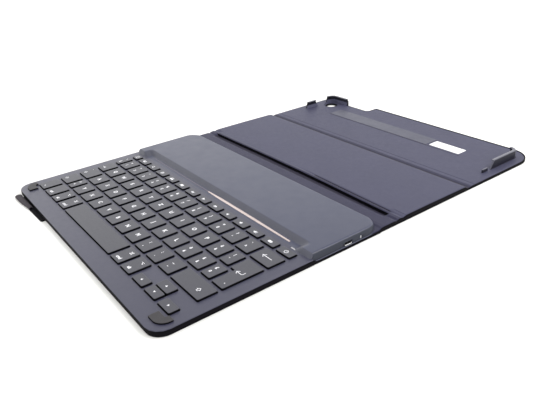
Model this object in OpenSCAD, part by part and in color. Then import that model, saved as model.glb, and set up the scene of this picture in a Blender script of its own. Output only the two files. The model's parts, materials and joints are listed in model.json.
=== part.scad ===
// Tablet keyboard case, opened flat with its inner faces up.
// X runs from the typist's left to right, Y away from the typist, Z up from the table.
// Places along the depth are measured from the front edge of the keyboard base.

/* [Case] */
// Width of the keyboard base
case_w = 264; // [262:1:268]
// Depth from the front edge to the far edge, opened flat
open_d = 380; // [378:1:384]
// Radius of the outer corners
corner_r = 11; // [8:1:12]
// Thickness of the soft outer skin
skin_t = 0.8; // [0.6:0.1:0.8]

/* [Keyboard base] */
// Height of the key deck above the table
deck_z = 4.6; // [4.5:0.1:4.8]
// Height of the battery platform above the table
platform_z = 8.2; // [8:0.1:9]
// Rear face of the battery platform
platform_rear = 181.5; // [181:0.1:181.6]

/* [Keys] */
// Width of a standard key
key_w = 14.6; // [14.4:0.1:14.6]
// Side gap between keys
key_gap = 3.1; // [3:0.1:3.1]
// Depth of a standard key
key_d = 14.6; // [14:0.1:14.6]
// Gap between rows of keys
row_gap = 3.0; // [3:0.1:3.1]
// Height of the key tops above the table
key_top_z = 5.9; // [5.8:0.1:6]
// Clearance of each key in its deck opening
key_clear = 0.45; // [0.42:0.01:0.5]

/* [Lid] */
// Inner length of the clips, the long side of the tablet
tablet_w = 242.2; // [241.8:0.1:242.6]
// Height of the space under the clip lips
tablet_t = 6.2; // [6.1:0.1:6.5]
// Thickness of the upper panel
upper_z = 2.6; // [2.5:0.1:2.7]
// Thickness of the lower panel
lower_z = 4.6; // [4.4:0.1:4.7]
// Diameter of the camera opening
camera_d = 11.6; // [11.2:0.2:12.4]

/* [Closure flap] */
// How far the flap reaches in front of the base
flap_reach = 7.3; // [6:0.1:9]
// Width of the flap
flap_w = 62; // [50:1:66]

/* [Hidden] */

// Colours
plastic = [0.13, 0.13, 0.16];
soft = [0.10, 0.10, 0.13];
key_colour = [0.28, 0.28, 0.32];
copper = [0.80, 0.70, 0.66];

eps = 0.01;
// The origin lies under the middle of the whole footprint, flap included
y_origin = (open_d - flap_reach) / 2;

// Stack under the keys, from the table up
tray_floor_z = skin_t + 0.5;
backplate_z = tray_floor_z + 0.3;
membrane_z = backplate_z + 0.3;
dome_z = membrane_z + 1.5;
key_bottom_z = membrane_z + 1.5;
key_ceiling_z = key_top_z - 1.0;
key_wall = 0.9;
seam_z = 2.8;
skin_lip_z = deck_z - 0.6;
low_lip_z = 2.4;
lip_t = 0.9;

// Rows of keys, as key widths from left to right
field_w = 242;
function repeated(width, count) = [for (i = [1:count]) width];
row_space = [13.2, 14.3, 12.4, 13.9, 87.7, 13.4, 13.8];
row_lower = concat([16.1, 8.4], repeated(key_w, 10), [34.3]);
row_home = concat([18.1], repeated(key_w, 11), [10.6]);
row_upper = concat([13], repeated(key_w, 11), [10.7]);
row_number = concat([7, 13.3], repeated(key_w, 11), [20.8]);
row_function = concat([9.2], repeated(14.8, 13));
rows = [row_space, row_lower, row_home, row_upper, row_number, row_function];
space_row_d = 16.4;
function_row_d = 7.1;
row_depths = [space_row_d, key_d, key_d, key_d, key_d, function_row_d];
first_row = 15.7;
function row_front(r) = r == 0 ? first_row : row_front(r - 1) + row_depths[r - 1] + row_gap;
function widths_before(widths, i) = i == 0 ? 0 : widths_before(widths, i - 1) + widths[i - 1];
function key_left(r, i) = widths_before(rows[r], i) + i * key_gap - field_w / 2;

// A key is [left, front, width, depth]
function row_key(r, i) = [key_left(r, i), row_front(r), rows[r][i], row_depths[r]];
arrow_d = 7.6;
arrow_gap = 0.8;
arrow_left_x = 191.5 - field_w / 2;
arrow_middle_x = 209.1 - field_w / 2;
arrow_right_x = field_w / 2 - key_w;
arrow_left = [arrow_left_x, first_row, key_w, arrow_d];
arrow_down = [arrow_middle_x, first_row, key_w, arrow_d];
arrow_right = [arrow_right_x, first_row, key_w, arrow_d];
arrow_up = [arrow_middle_x, first_row + arrow_d + arrow_gap, key_w, space_row_d - arrow_d - arrow_gap];
enter_step_x = key_left(2, 12) + rows[2][12] + key_gap;
enter_left_x = key_left(3, 12) + rows[3][12] + key_gap;
enter_right_x = field_w / 2;
all_row_keys = [for (r = [0:5]) for (i = [0:len(rows[r]) - 1]) row_key(r, i)];
arrow_keys = [arrow_left, arrow_down, arrow_right, arrow_up];

// Battery platform and dock valley
deck_rear = 117.3;
platform_front = 118;
valley_rear = 122.3;
valley_z = deck_z - 0.2;
slope_rear = 126.6;
platform_w = case_w - 2 * lip_t;
wall_t = 1.3;
edge_r = 2.6;
platform_r = 12;
skin_rear_r = 3;
strip_front = 119.5;
strip_d = 2.6;
strip_w = 206;
port_y = 150;
port_w = 8.4;
port_z = 4.15;
lobe_x = 115;
lobe_front_run = 1.2;
lobe_side_run = 3.4;

// Light pipes, as [left, front, bottom, right, rear, top]
light_y = 161.8;
light_w = 1;
side_light = [127.5, light_y - light_w / 2, 3.2, platform_w / 2 - 0.1, light_y + light_w / 2, 5.4];
dock_light = [109.4, 115.6, deck_z - 0.6, 114.9, 117, deck_z];

// Corner bumpers, their rear stepped round the nearest key
bumper_out = case_w / 2 - 4.3;
bumper_w = 13.6;
bumper_r = 8;
bumper_front = 5.6;
bumper_mid = 12.9;
bumper_rear = 15.6;
bumper_arm = 5.6;
bumper_t = 1.1;

// Closure flap
flap_x0 = -121;
flap_fold_y = -1.2;
flap_taper = 20;
flap_tip = 2;

// Fold lines
fold_z = 1.6;
spine_fold = 184;
panel_fold = 200.8;
mid_fold = 283.6;
fold_gap = 0.3;
spine_z = 3.8;
ridge_front = 202.6;
ridge_z = 5.4;
lining_rear = 280.6;
board_rear = 277.6;
upper_front = 287;
panel_w = case_w - 1;

// Clips and openings of the upper panel
tray_top_z = 1.9;
clip_t = 1.5;
clip_far = 368.5;
clip_near = 326;
left_clip_rear = 342;
left_leg_x = -96.8;
right_leg_x = 114.5;
nub_front = 315;
nub_rear = 322.5;
nub_z = 5.5;
lip_in = 1.6;
clip_lip_z = upper_z + tablet_t;
clip_top_z = clip_lip_z + 0.9;
tablet_r = 6.5;
ring_w = 1.3;
camera_x = -111;
camera_y = 355.4;
notch_left = -96.3;
notch_slant = 12;
notch_right = -62.5;
notch_front = 366.3;
notch_r = 4;
far_corner_r = 21;

// Corner points of a rectangle with rounded corners; the front and rear radii may differ
function arc(cx, cy, r, from) = [for (k = [0:6]) [cx + r * cos(from + 15 * k), cy + r * sin(from + 15 * k)]];
function round_rect(x0, y0, x1, y1, rf, rr) = concat(
    arc(x0 + rf, y0 + rf, rf, 180), arc(x1 - rf, y0 + rf, rf, 270),
    arc(x1 - rr, y1 - rr, rr, 0), arc(x0 + rr, y1 - rr, rr, 90));

// Draws its children with depths measured from the front edge of the base
module from_front() {
    translate([0, -y_origin, 0]) children();
}

module slab(x0, y0, x1, y1, z0, z1) {
    translate([x0, y0, z0]) cube([x1 - x0, y1 - y0, z1 - z0]);
}

// A slab given as [left, front, bottom, right, rear, top], its top raised by a margin
module block(box, margin = 0) {
    slab(box[0], box[1], box[3], box[4], box[2], box[5] + margin);
}

module plate(points, z0, z1) {
    translate([0, 0, z0]) linear_extrude(z1 - z0) polygon(points);
}

// Extrudes a side profile, given as [depth, height] points, over a width centred on X
module profile(points, width) {
    translate([-width / 2, 0, 0])
        rotate([90, 0, 90])
            linear_extrude(width) polygon(points);
}

// ---- Keyboard base ----

// Outline of the keyboard base, moved in from its front and sides
function base_outline(inset, rear, rear_r) =
    round_rect(-case_w / 2 + inset, inset, case_w / 2 - inset, rear, corner_r - inset, rear_r);

// The soft shell: a floor and a lip that is high around the keys and low beside the platform
module base_skin() {
    lip_side = [
        [-1, skin_t - eps], [-1, skin_lip_z], [platform_front, skin_lip_z], [slope_rear, low_lip_z],
        [platform_rear - platform_r, low_lip_z], [platform_rear - 3, skin_t - eps]
    ];
    color(soft) from_front() {
        plate(base_outline(0, platform_rear, skin_rear_r), 0, skin_t);
        slab(-case_w / 2 + 3, platform_rear - 6, case_w / 2 - 3, spine_fold - fold_gap, 0, skin_t);
        slab(flap_x0 + 10, flap_fold_y + fold_gap, flap_x0 + flap_w, 2, 0, skin_t);
        intersection() {
            difference() {
                plate(base_outline(0, platform_rear, skin_rear_r), 0, skin_lip_z);
                plate(base_outline(lip_t, platform_rear + 1, skin_rear_r), -eps, skin_lip_z + eps);
            }
            profile(lip_side, case_w + 2);
        }
    }
}

module base_tray() {
    wall = 1.4;
    color(plastic) from_front() difference() {
        plate(base_outline(lip_t, platform_rear, platform_r), skin_t, seam_z);
        plate(base_outline(lip_t + wall, platform_rear - wall, platform_r - wall), tray_floor_z, seam_z + eps);
    }
}

// Outline of one key, grown by a clearance and with its corners cut
module key_plate(key, grow, cut, z0, z1) {
    x0 = key[0] - grow;
    y0 = key[1] - grow;
    x1 = key[0] + key[2] + grow;
    y1 = key[1] + key[3] + grow;
    plate([
        [x0 + cut, y0], [x1 - cut, y0], [x1, y0 + cut], [x1, y1 - cut],
        [x1 - cut, y1], [x0 + cut, y1], [x0, y1 - cut], [x0, y0 + cut]
    ], z0, z1);
}

module enter_plate(grow, z0, z1) {
    low = row_front(2) - grow;
    step = row_front(3) - grow;
    high = row_front(3) + key_d + grow;
    right = enter_right_x + grow;
    plate([
        [enter_step_x - grow, low], [right, low], [right, high],
        [enter_left_x - grow, high], [enter_left_x - grow, step], [enter_step_x - grow, step]
    ], z0, z1);
}

module keyboard_deck() {
    color(plastic) from_front() difference() {
        union() {
            plate(base_outline(0, deck_rear, 0.4), skin_lip_z + 0.1, deck_z);
            plate(base_outline(lip_t, deck_rear, 0.4), seam_z, deck_z);
        }
        plate(base_outline(lip_t + 1.4, deck_rear + 5, 0.4), seam_z - eps, seam_z + 0.6);
        for (key = all_row_keys)
            key_plate(key, key_clear, 0.6, seam_z, deck_z + eps);
        for (key = arrow_keys)
            key_plate(key, key_clear, 0.1, seam_z, deck_z + eps);
        enter_plate(key_clear, seam_z, deck_z + eps);
        block(dock_light, eps);
    }
}

// Lobes that close the valley at its two ends
module platform_lobes() {
    half = platform_w / 2;
    side = [
        [platform_front, seam_z], [platform_front, valley_z], [platform_front + lobe_front_run, platform_z],
        [slope_rear + 1, platform_z], [slope_rear + 1, seam_z]
    ];
    front = [
        [lobe_x, seam_z], [half, seam_z], [half, platform_z], [lobe_x + lobe_side_run, platform_z],
        [lobe_x, valley_z]
    ];
    for (flip = [0, 1])
        mirror([flip, 0, 0]) intersection() {
            profile(side, platform_w);
            translate([0, open_d, 0]) rotate([90, 0, 0]) linear_extrude(open_d) polygon(front);
        }
}

module platform_cover() {
    half = platform_w / 2;
    side = [
        [platform_front, seam_z], [platform_front, valley_z], [valley_rear, valley_z],
        [valley_rear + 1.5, valley_z + 0.6], [slope_rear, platform_z],
        [platform_rear - 1, platform_z], [platform_rear, platform_z - 1], [platform_rear, seam_z]
    ];
    room = [
        [valley_rear + 1.8, seam_z - eps], [slope_rear + 1.6, platform_z - wall_t],
        [platform_rear - wall_t, platform_z - wall_t], [platform_rear - wall_t, seam_z - eps]
    ];
    rounded = concat([[half, seam_z - 1], [-half, seam_z - 1]],
        [for (k = [6:-1:0]) [-half + edge_r - edge_r * sin(15 * k), platform_z - edge_r + edge_r * cos(15 * k)]],
        [for (k = [0:6]) [half - edge_r + edge_r * sin(15 * k), platform_z - edge_r + edge_r * cos(15 * k)]]);
    color(plastic) from_front() difference() {
        intersection() {
            union() {
                profile(side, platform_w);
                platform_lobes();
            }
            translate([0, open_d, 0]) rotate([90, 0, 0]) linear_extrude(open_d) polygon(rounded);
            plate(round_rect(-half, 100, half, platform_rear, 1, platform_r), seam_z, platform_z);
        }
        intersection() {
            profile(room, platform_w);
            plate(round_rect(-half + wall_t, 100, half - wall_t, platform_rear - wall_t, 1, platform_r - wall_t),
                seam_z - eps, platform_z - wall_t);
        }
        slab(-strip_w / 2, strip_front, strip_w / 2, strip_front + strip_d, valley_z - 0.8, valley_z + eps);
        slab(120, port_y - port_w / 2, half + eps, port_y + port_w / 2, port_z - 1.3, port_z + 1.3);
        slab(120, light_y - light_w / 2, half + eps, light_y + light_w / 2, side_light[2], side_light[5]);
    }
}

module key_backplate() {
    color("silver") from_front()
        slab(-field_w / 2 - 4, 10, field_w / 2 + 4, 115, tray_floor_z, backplate_z);
}

module switch_membrane() {
    color([0.55, 0.6, 0.55]) from_front()
        slab(-field_w / 2 - 2, 12, field_w / 2 + 2, 114, backplate_z, membrane_z);
}

// Middle of each key, where its switch sits
function key_middle(key) = [key[0] + key[2] / 2, key[1] + key[3] / 2];
enter_middle = [(enter_step_x + enter_right_x) / 2, row_front(3) - row_gap / 2];
switch_places = concat([for (key = concat(all_row_keys, arrow_keys)) key_middle(key)], [enter_middle]);

module rubber_domes() {
    color([0.75, 0.75, 0.78]) from_front()
        for (place = switch_places)
            translate([place[0], place[1], membrane_z]) cylinder(h = dome_z - membrane_z, r = 1.4, $fn = 8);
}

module scissor_links() {
    outer = 4.2;
    inner = 3.2;
    color("white") from_front()
        for (place = switch_places)
            translate([place[0], place[1], membrane_z + 0.3]) difference() {
                translate([-outer / 2, -outer / 2, 0]) cube([outer, outer, 0.7]);
                translate([-inner / 2, -inner / 2, -eps]) cube([inner, inner, 0.7 + 2 * eps]);
            }
}

module circuit_board() {
    color("darkgreen") from_front() slab(104, 132, 126, 176, 2, 2.9);
}

module battery_cells() {
    color("lightgrey") from_front()
        for (x = [-98, 2])
            slab(x, 131, x + 94, 175, tray_floor_z + 0.2, 6.2);
}

module charge_socket() {
    color("silver") from_front() difference() {
        slab(124.6, port_y - 3.8, 130.6, port_y + 3.8, port_z - 1.25, port_z + 1.25);
        slab(125.4, port_y - 3.4, 131, port_y + 3.4, port_z - 0.85, port_z + 0.85);
        slab(130, port_y - 4, 131, port_y + 4, port_z + 0.3, port_z + 2);
    }
}

module light_pipes() {
    color("white") from_front() {
        block(side_light);
        block(dock_light);
    }
}

module dock_strip() {
    color(copper) from_front()
        slab(-strip_w / 2, strip_front, strip_w / 2, strip_front + strip_d, valley_z - 0.8, valley_z + 0.1);
}

module dock_magnets() {
    color("dimgray") from_front()
        for (x = [-90:60:90])
            slab(x - 10, 118.6, x + 10, 122.8, tray_floor_z, seam_z);
}

// Raised pads in the front corners of the deck, their outer corners round
module corner_bumpers() {
    pad = concat(
        [[bumper_out - bumper_w, bumper_mid], [bumper_out - bumper_w, bumper_front]],
        arc(bumper_out - bumper_r, bumper_front + bumper_r, bumper_r, 270),
        [[bumper_out, bumper_rear], [bumper_out - bumper_arm, bumper_rear],
         [bumper_out - bumper_arm, bumper_mid]]);
    color(plastic) from_front()
        for (flip = [0, 1])
            mirror([flip, 0, 0]) plate(pad, deck_z, deck_z + bumper_t);
}

// ---- Spine ----

spine_front = spine_fold + fold_gap;
spine_rear = panel_fold - fold_gap;
spine_slope = 194.6;
stiffener_top = 2.4;

module spine_skin() {
    color(soft) from_front()
        slab(-panel_w / 2 + 0.5, spine_front, panel_w / 2 - 0.5, spine_rear, 0, skin_t);
}

module spine_stiffener() {
    color("gray") from_front()
        slab(-126, spine_front + 2, 126, spine_slope, skin_t, stiffener_top);
}

module spine_lining() {
    side = [
        [spine_front, skin_t], [spine_rear, skin_t], [spine_rear, skin_t + 0.4],
        [spine_slope, spine_z], [spine_front, spine_z]
    ];
    color(soft) from_front() difference() {
        profile(side, panel_w - 1);
        slab(-126, spine_front + 2, 126, spine_slope, skin_t - eps, stiffener_top);
    }
}

// ---- Lower panel ----

module lower_panel_skin() {
    color(soft) from_front()
        slab(-panel_w / 2, panel_fold + fold_gap, panel_w / 2, mid_fold - fold_gap, 0, skin_t);
}

module lower_panel_board() {
    color("dimgray") from_front()
        slab(-128, 207, 128, board_rear, skin_t, 3);
}

module lower_panel_lining() {
    side = [
        [ridge_front, skin_t], [ridge_front, ridge_z - 0.5], [ridge_front + 0.6, ridge_z],
        [205.4, ridge_z], [206.4, lower_z - 0.3], [207.6, lower_z], [lining_rear - 2, lower_z - 0.3],
        [lining_rear, 2], [lining_rear, skin_t]
    ];
    color(soft) from_front() difference() {
        profile(side, panel_w);
        slab(-128, 207, 128, board_rear, skin_t - eps, 3);
    }
}

// ---- Upper panel ----

module upper_openings(z0, z1) {
    plate(concat(arc(notch_left + 1, notch_front + 1, 1, 180),
        arc(notch_right - notch_r, notch_front + notch_r, notch_r, 270),
        [[notch_right, open_d + 1], [notch_left - notch_slant, open_d + 1], [notch_left, clip_far + 0.5]]), z0, z1);
    translate([camera_x, camera_y, z0]) cylinder(h = z1 - z0, r = camera_d / 2 + ring_w + 0.05, $fn = 64);
}

module upper_panel_skin() {
    color(soft) from_front() difference() {
        plate(round_rect(-panel_w / 2, mid_fold + fold_gap, panel_w / 2, open_d, 0.5, far_corner_r), 0, skin_t);
        upper_openings(-eps, skin_t + eps);
    }
}

function tablet_outline(grow) = round_rect(
    -tablet_w / 2 - grow, mid_fold + 20, tablet_w / 2 + grow, clip_far - clip_t + grow, 1, tablet_r + grow);

// The spans of the edge that carry clips
module clip_spans() {
    slab(110, clip_near, 130, 380, 0, 20);
    slab(right_leg_x, 362, 130, 380, 0, 20);
    slab(-130, clip_near, -110, left_clip_rear, 0, 20);
    slab(-130, 357, left_leg_x, 380, 0, 20);
}

// The edge strip of the tray inside the spans, reaching in under or over the tablet
module clip_strip(reach, z0, z1) {
    intersection() {
        difference() {
            plate(tablet_outline(clip_t), z0, z1);
            plate(tablet_outline(-reach), z0 - 1, z1 + 1);
        }
        clip_spans();
    }
}

// A thin stiff plate sealed between the skin and the lining, which roots the clips
module upper_tray() {
    color(plastic) from_front() difference() {
        plate(tablet_outline(clip_t), skin_t, tray_top_z);
        upper_openings(0, 3);
    }
}

module side_nub(z0, z1) {
    slab(tablet_w / 2, nub_front, tablet_w / 2 + clip_t, nub_rear, z0, z1);
}

module clip_walls() {
    color(plastic) from_front() {
        clip_strip(0, tray_top_z, clip_lip_z);
        side_nub(tray_top_z, nub_z);
    }
}

module clip_lips() {
    color(plastic) from_front() clip_strip(lip_in, clip_lip_z, clip_top_z);
}

module upper_panel_lining() {
    color(soft) from_front() difference() {
        plate(round_rect(-panel_w / 2, upper_front, panel_w / 2, open_d, 0.5, far_corner_r), skin_t, upper_z);
        plate(tablet_outline(clip_t), skin_t - eps, tray_top_z);
        clip_strip(0, tray_top_z - eps, upper_z + eps);
        side_nub(tray_top_z - eps, upper_z + eps);
        upper_openings(0, 5);
    }
}

module camera_ring() {
    color("black") from_front() translate([camera_x, camera_y, 0.2]) difference() {
        cylinder(h = upper_z, r = camera_d / 2 + ring_w, $fn = 64);
        translate([0, 0, -eps]) cylinder(h = upper_z + 1, r = camera_d / 2, $fn = 64);
    }
}

module tray_band() {
    color([0.32, 0.32, 0.36]) from_front() slab(-88.5, 333, 47.2, 350, upper_z, upper_z + 0.2);
}

module info_label() {
    color("white") from_front() slab(48.4, 335, 83.8, 347.3, upper_z, upper_z + 0.2);
}

// ---- Closure flap ----

module closure_flap() {
    x1 = flap_x0 + flap_w;
    root = flap_fold_y - fold_gap;
    outline = concat([[x1, root], [flap_x0 + 10, root]],
        [for (k = [0:6]) [flap_x0 + 3 - 3 * sin(15 * k), -flap_reach + 3 + 3 * cos(15 * k)]],
        [for (k = [1:6]) [flap_x0 + 3 - 3 * cos(15 * k), -flap_reach + 3 - 3 * sin(15 * k)]],
        [[flap_x0 + flap_taper, -flap_reach], [x1, root - flap_tip]]);
    color(soft) from_front() difference() {
        plate(outline, 0, 1.7);
        flap_magnet_bar();
    }
}

module flap_magnet_bar() {
    slab(flap_x0 + 8, -5.5, flap_x0 + 24, -3.5, 0.5, 1.2);
}

module flap_magnet() {
    color("silver") from_front() flap_magnet_bar();
}

// ---- Keys ----

module key_cap(key) {
    color(key_colour) from_front() difference() {
        key_plate(key, 0, 0.8, key_bottom_z, key_top_z);
        key_plate(key, -key_wall, 0.4, key_bottom_z - eps, key_ceiling_z);
    }
}

// A run of neighbouring keys in one row
module key_run(r, first, last) {
    for (i = [first:last])
        key_cap(row_key(r, i));
}

module key_enter() {
    color(key_colour) from_front() difference() {
        enter_plate(0, key_bottom_z, key_top_z);
        enter_plate(-key_wall, key_bottom_z - eps, key_ceiling_z);
    }
}

base_skin();
base_tray();
keyboard_deck();
platform_cover();
key_backplate();
switch_membrane();
rubber_domes();
scissor_links();
circuit_board();
battery_cells();
charge_socket();
light_pipes();
dock_strip();
dock_magnets();
corner_bumpers();
spine_skin();
spine_stiffener();
spine_lining();
lower_panel_skin();
lower_panel_board();
lower_panel_lining();
upper_panel_skin();
upper_tray();
clip_walls();
clip_lips();
upper_panel_lining();
camera_ring();
tray_band();
info_label();
closure_flap();
flap_magnet();
key_run(0, 0, 0);  // key_fn
key_run(0, 1, 1);  // key_ctrl
key_run(0, 2, 2);  // key_alt_left
key_run(0, 3, 3);  // key_cmd_left
key_run(0, 4, 4);  // key_space
key_run(0, 5, 5);  // key_cmd_right
key_run(0, 6, 6);  // key_alt_right
key_cap(arrow_left);  // key_arrow_left
key_cap(arrow_down);  // key_arrow_down
key_cap(arrow_up);  // key_arrow_up
key_cap(arrow_right);  // key_arrow_right
key_run(1, 0, 0);  // key_shift_left
key_run(1, 12, 12);  // key_shift_right
key_run(2, 0, 0);  // key_caps_lock
key_run(3, 0, 0);  // key_tab
key_enter();
key_run(4, 13, 13);  // key_backspace
key_run(1, 1, 6);  // keys_lower_left
key_run(1, 7, 11);  // keys_lower_right
key_run(2, 1, 6);  // keys_home_left
key_run(2, 7, 12);  // keys_home_right
key_run(3, 1, 6);  // keys_upper_left
key_run(3, 7, 12);  // keys_upper_right
key_run(4, 0, 4);  // keys_number_left
key_run(4, 5, 8);  // keys_number_middle
key_run(4, 9, 12);  // keys_number_right
key_run(5, 0, 4);  // keys_function_left
key_run(5, 5, 9);  // keys_function_middle
key_run(5, 10, 13);  // keys_function_right
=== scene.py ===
"""Looks of the tablet keyboard case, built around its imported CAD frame."""
import json
import math
from types import SimpleNamespace
import bmesh
import bpy
from mathutils import Matrix, Vector, geometry


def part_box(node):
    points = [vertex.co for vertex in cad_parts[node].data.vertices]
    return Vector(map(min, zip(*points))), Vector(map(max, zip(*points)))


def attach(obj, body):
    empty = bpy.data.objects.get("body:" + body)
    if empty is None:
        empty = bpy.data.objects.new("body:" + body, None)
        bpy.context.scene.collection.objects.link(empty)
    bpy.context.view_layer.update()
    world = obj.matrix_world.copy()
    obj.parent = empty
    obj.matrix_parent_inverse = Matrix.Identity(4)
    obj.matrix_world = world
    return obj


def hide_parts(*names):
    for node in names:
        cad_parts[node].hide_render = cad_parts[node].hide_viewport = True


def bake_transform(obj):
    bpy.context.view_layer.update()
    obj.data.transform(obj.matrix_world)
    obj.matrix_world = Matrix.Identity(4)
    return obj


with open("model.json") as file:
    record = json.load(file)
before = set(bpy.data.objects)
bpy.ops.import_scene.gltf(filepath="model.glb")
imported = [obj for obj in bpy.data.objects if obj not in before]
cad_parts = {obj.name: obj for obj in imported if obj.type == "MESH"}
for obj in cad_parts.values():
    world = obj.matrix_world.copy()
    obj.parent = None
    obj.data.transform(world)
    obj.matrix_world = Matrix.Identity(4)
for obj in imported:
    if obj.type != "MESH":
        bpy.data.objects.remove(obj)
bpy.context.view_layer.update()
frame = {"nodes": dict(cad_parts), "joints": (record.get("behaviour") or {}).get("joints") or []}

# Shapes are drawn in millimetres: x from the middle, depth from the base's front edge, z from the table
MM = 0.001
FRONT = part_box("keyboard_deck")[0].y / MM


def box_mm(node):
    """A node's box in millimetres: x0 to x1, depths y0 to y1, heights z0 to z1."""
    low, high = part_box(node)
    return SimpleNamespace(x0=low.x / MM, y0=low.y / MM - FRONT, z0=low.z / MM,
                           x1=high.x / MM, y1=high.y / MM - FRONT, z1=high.z / MM)


def hinge_depth(name):
    return next(j for j in frame["joints"] if j["name"] == name)["pos_m"][1] / MM - FRONT


HALF_W = box_mm("base_skin").x1
PANEL_HALF = box_mm("upper_panel_skin").x1
DECK_Z = box_mm("keyboard_deck").z1
DECK_REAR = box_mm("keyboard_deck").y1
KEY_Z = box_mm("key_space").z1
KEY_BOTTOM = box_mm("key_space").z0
PLATFORM_Z = box_mm("platform_cover").z1
PLATFORM_HALF = box_mm("platform_cover").x1
PLATFORM_REAR = box_mm("platform_cover").y1
FAR = box_mm("upper_panel_skin").y1
SKIN_T = box_mm("lower_panel_skin").z1
PANEL_Z = box_mm("upper_panel_lining").z1
CORNER_R = 11
FAR_R = 21
CORNER_STEPS = 7


# ---- Mesh helpers ----

def to_frame(x, depth, z):
    return Vector((x * MM, (FRONT + depth) * MM, z * MM))


def outline(corners, inset=0.0, steps=CORNER_STEPS):
    """Points round a counter-clockwise outline of (x, depth, radius) corners, moved in by inset."""
    points = []
    for i, (x, y, r) in enumerate(corners):
        here = Vector((x, y))
        into = (here - Vector(corners[i - 1][:2])).normalized()
        away = (Vector(corners[(i + 1) % len(corners)][:2]) - here).normalized()
        n1 = Vector((-into.y, into.x))
        n2 = Vector((-away.y, away.x))
        side = 1 if into.x * away.y - into.y * away.x > 0 else -1
        corner = here + (n1 + n2) * (inset / (1 + n1.dot(n2)))
        radius = max(r - side * inset, 0.04)
        turn = into.angle(away)
        centre = corner - into * radius * math.tan(turn / 2) + n1 * side * radius
        start = math.atan2(-n1.y * side, -n1.x * side)
        for k in range(steps + 1):
            a = start + side * turn * k / steps
            points.append((centre.x + radius * math.cos(a), centre.y + radius * math.sin(a)))
    return points


def rectangle(x0, y0, x1, y1, r, rear_r=None):
    rear_r = r if rear_r is None else rear_r
    return [(x0, y0, r), (x1, y0, r), (x1, y1, rear_r), (x0, y1, rear_r)]


def mirrored(right):
    """Places across the case from those right of its middle, given from the outside in to 0."""
    return [-x for x in right[:-1]] + right[::-1]


def rear_corner(side, half, rear, radius, angles):
    """Places round a rear corner, each with the direction inwards."""
    places = []
    for a in angles:
        c, s = math.cos(a), math.sin(a)
        places.append(((side * (half - radius + radius * c), rear - radius + radius * s), (-side * c, -s)))
    return places


def inside(point, loop):
    x, y = point
    found = False
    for (x0, y0), (x1, y1) in zip(loop, loop[1:] + loop[:1]):
        if (y0 > y) != (y1 > y) and x < (x1 - x0) * (y - y0) / (y1 - y0) + x0:
            found = not found
    return found


def cap(bm, outer, holes, up):
    """Fills between a ring of vertices and rings of holes in it."""
    rings = [outer, *holes]
    verts = [v for ring in rings for v in ring]
    flat = [Vector((v.co.x, v.co.y)) for v in verts]
    owner, edges, start = [], [], 0
    for n, ring in enumerate(rings):
        count = len(ring)
        owner += [n] * count
        edges += [(start + i, start + (i + 1) % count) for i in range(count)]
        start += count
    loops = [[tuple(v.co.xy) for v in ring] for ring in rings]
    _, _, faces, source, _, _ = geometry.delaunay_2d_cdt(flat, edges, [], 0, 1e-6)
    for face in faces:
        ids = [source[i][0] for i in face]
        if len(set(ids)) < 3:
            continue
        owners = {owner[i] for i in ids}
        if len(owners) == 1:
            n = owners.pop()
            middle = sum((flat[i] for i in ids), Vector((0, 0))) / 3
            if inside(middle, loops[n]) != (n == 0):
                continue
        corners = [verts[i] for i in ids]
        a, b, c = (v.co for v in corners)
        if ((b - a).cross(c - a).z > 0) != up:
            corners.reverse()
        if bm.faces.get(corners) is None:
            bm.faces.new(corners)


def height_of(z, x, y):
    return z(x, y) if callable(z) else z


def add_rings(bm, make_points, profile):
    """One ring of vertices for each (inset, z) of the profile, joined by faces."""
    rings = []
    for inset, z in profile:
        rings.append([bm.verts.new((x, y, height_of(z, x, y))) for x, y in make_points(inset)])
    for low, high in zip(rings, rings[1:]):
        count = len(low)
        for i in range(count):
            j = (i + 1) % count
            bm.faces.new((low[i], low[j], high[j], high[i]))
    return rings


def add_solid(bm, corners, profile, holes=(), hole_profile=None, steps=CORNER_STEPS):
    """A closed solid whose outline follows the profile from its lower cap to its upper cap."""
    rings = add_rings(bm, lambda inset: outline(corners, inset, steps), profile)
    low, high = [], []
    for hole in holes:
        cut = add_rings(bm, lambda inset: outline(hole, -inset, steps)[::-1], hole_profile)
        low.append(cut[0])
        high.append(cut[-1])
    cap(bm, rings[0], low, False)
    cap(bm, rings[-1], high, True)


def rounded_top(edge, top, radius, steps=3, support=0.15):
    """The last rings of a profile: a rounded edge, then a flat rim that keeps the top's shading level."""
    rings = []
    for k in range(1, steps + 1):
        a = math.pi / 2 * k / steps
        rings.append((edge + radius * (1 - math.cos(a)), top - radius + radius * math.sin(a)))
    return [(edge, top - radius), *rings, (edge + radius + support, top)]


def finish_mesh(name, bm, materials, body=None, nodes=(), paint_side_shade=False, sharp=32):
    """Turns a bmesh drawn in millimetres into a piece of the object."""
    bmesh.ops.recalc_face_normals(bm, faces=bm.faces)
    bm.transform(Matrix.Translation((0, FRONT * MM, 0)) @ Matrix.Scale(MM, 4))
    bm.normal_update()
    mesh = bpy.data.meshes.new(name)
    for face in bm.faces:
        face.smooth = True
        # paint_side_shade puts steep faces on the second finish, a copy with painted shade
        if paint_side_shade and abs(face.normal.z) < 0.5:
            face.material_index = 1
    bm.to_mesh(mesh)
    bm.free()
    mesh.set_sharp_from_angle(angle=math.radians(sharp))
    piece = bpy.data.objects.new(name, mesh)
    bpy.context.scene.collection.objects.link(piece)
    for material in materials:
        mesh.materials.append(material)
    if body:
        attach(piece, body)
    if nodes:
        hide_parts(*nodes)
    return piece


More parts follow.
